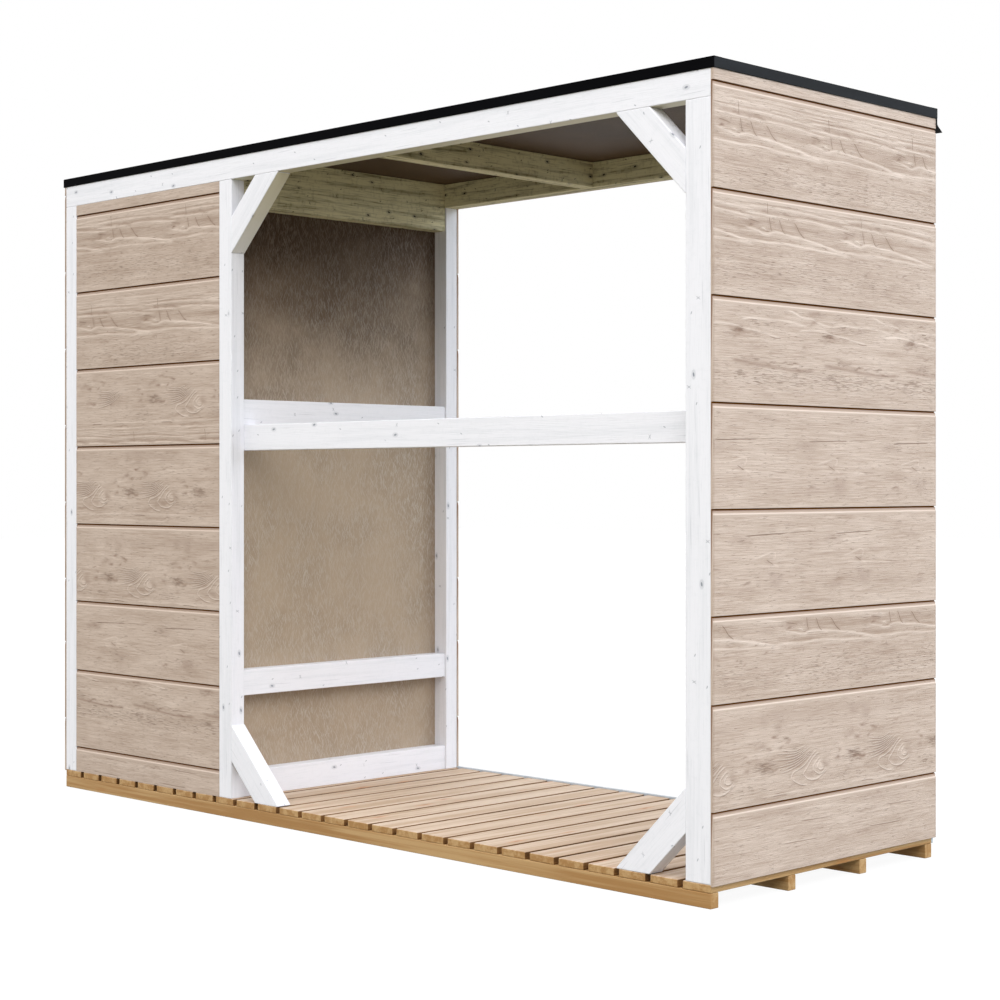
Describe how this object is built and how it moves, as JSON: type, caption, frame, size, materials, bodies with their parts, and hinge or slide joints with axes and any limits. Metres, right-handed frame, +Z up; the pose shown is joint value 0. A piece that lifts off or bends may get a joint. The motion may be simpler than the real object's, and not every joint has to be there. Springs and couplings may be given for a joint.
{
  "type": "log store with closed room",
  "caption": "Flat-roofed timber log store: a clad closed room beside an open braced bay, on a slatted deck with bearers.",
  "frame": {"origin": "middle of the overall box at ground level, under the bearers", "axes": "+X along the front from the closed room to the open bay, +Y from the front to the back, +Z up"},
  "size_m": [3.025, 1.0736, 2.211],
  "materials": {
    "white_timber": "whitewashed planed softwood, matt",
    "cladding": "embossed wood-fibre board in a grey beige paint, matt",
    "deck_pine": "bare planed pine",
    "joist_pine": "pressure-treated sawn pine",
    "partition_sheet": "plain brown hardboard, matt",
    "roof_sheet": "brown sheet, seen only from below",
    "roof_membrane": "black roofing membrane",
    "black_trim": "black powder coat, satin"
  },
  "bodies": {
    "root": {"brace_lower_left": "white_timber", "brace_lower_right": "white_timber", "brace_upper_left": "white_timber", "brace_upper_right": "white_timber", "deck_boards": "deck_pine", "deck_edge_strip": "white_timber", "drip_flashing": "black_trim", "front_header": "white_timber", "front_left_post": "white_timber", "front_mid_rail": "white_timber", "front_middle_post": "white_timber", "front_right_post": "white_timber", "joist_front": "joist_pine", "joist_rear": "joist_pine", "joist_second": "joist_pine", "joist_third": "joist_pine", "left_end_cladding": "cladding", "partition_bottom_rail": "white_timber", "partition_lower_rail": "white_timber", "partition_mid_rail": "white_timber", "partition_sheet": "partition_sheet", "partition_top_rail": "white_timber", "rafter_left": "white_timber", "rafter_middle": "white_timber", "rafter_partition": "white_timber", "rafter_right": "white_timber", "rear_head_board": "cladding", "rear_left_post": "white_timber", "rear_middle_post": "white_timber", "rear_right_post": "white_timber", "rear_top_rail": "white_timber", "right_end_bottom_rail": "white_timber", "right_end_cladding": "cladding", "right_end_lower_rail": "white_timber", "right_end_mid_rail": "white_timber", "right_end_top_rail": "white_timber", "roof_membrane": "roof_membrane", "roof_sheet": "roof_sheet", "roof_trim_front": "black_trim", "roof_trim_left": "black_trim", "roof_trim_rear": "black_trim", "roof_trim_right": "black_trim", "room_front_cladding": "cladding", "room_rear_cladding": "cladding"}
  },
  "joints": []
}
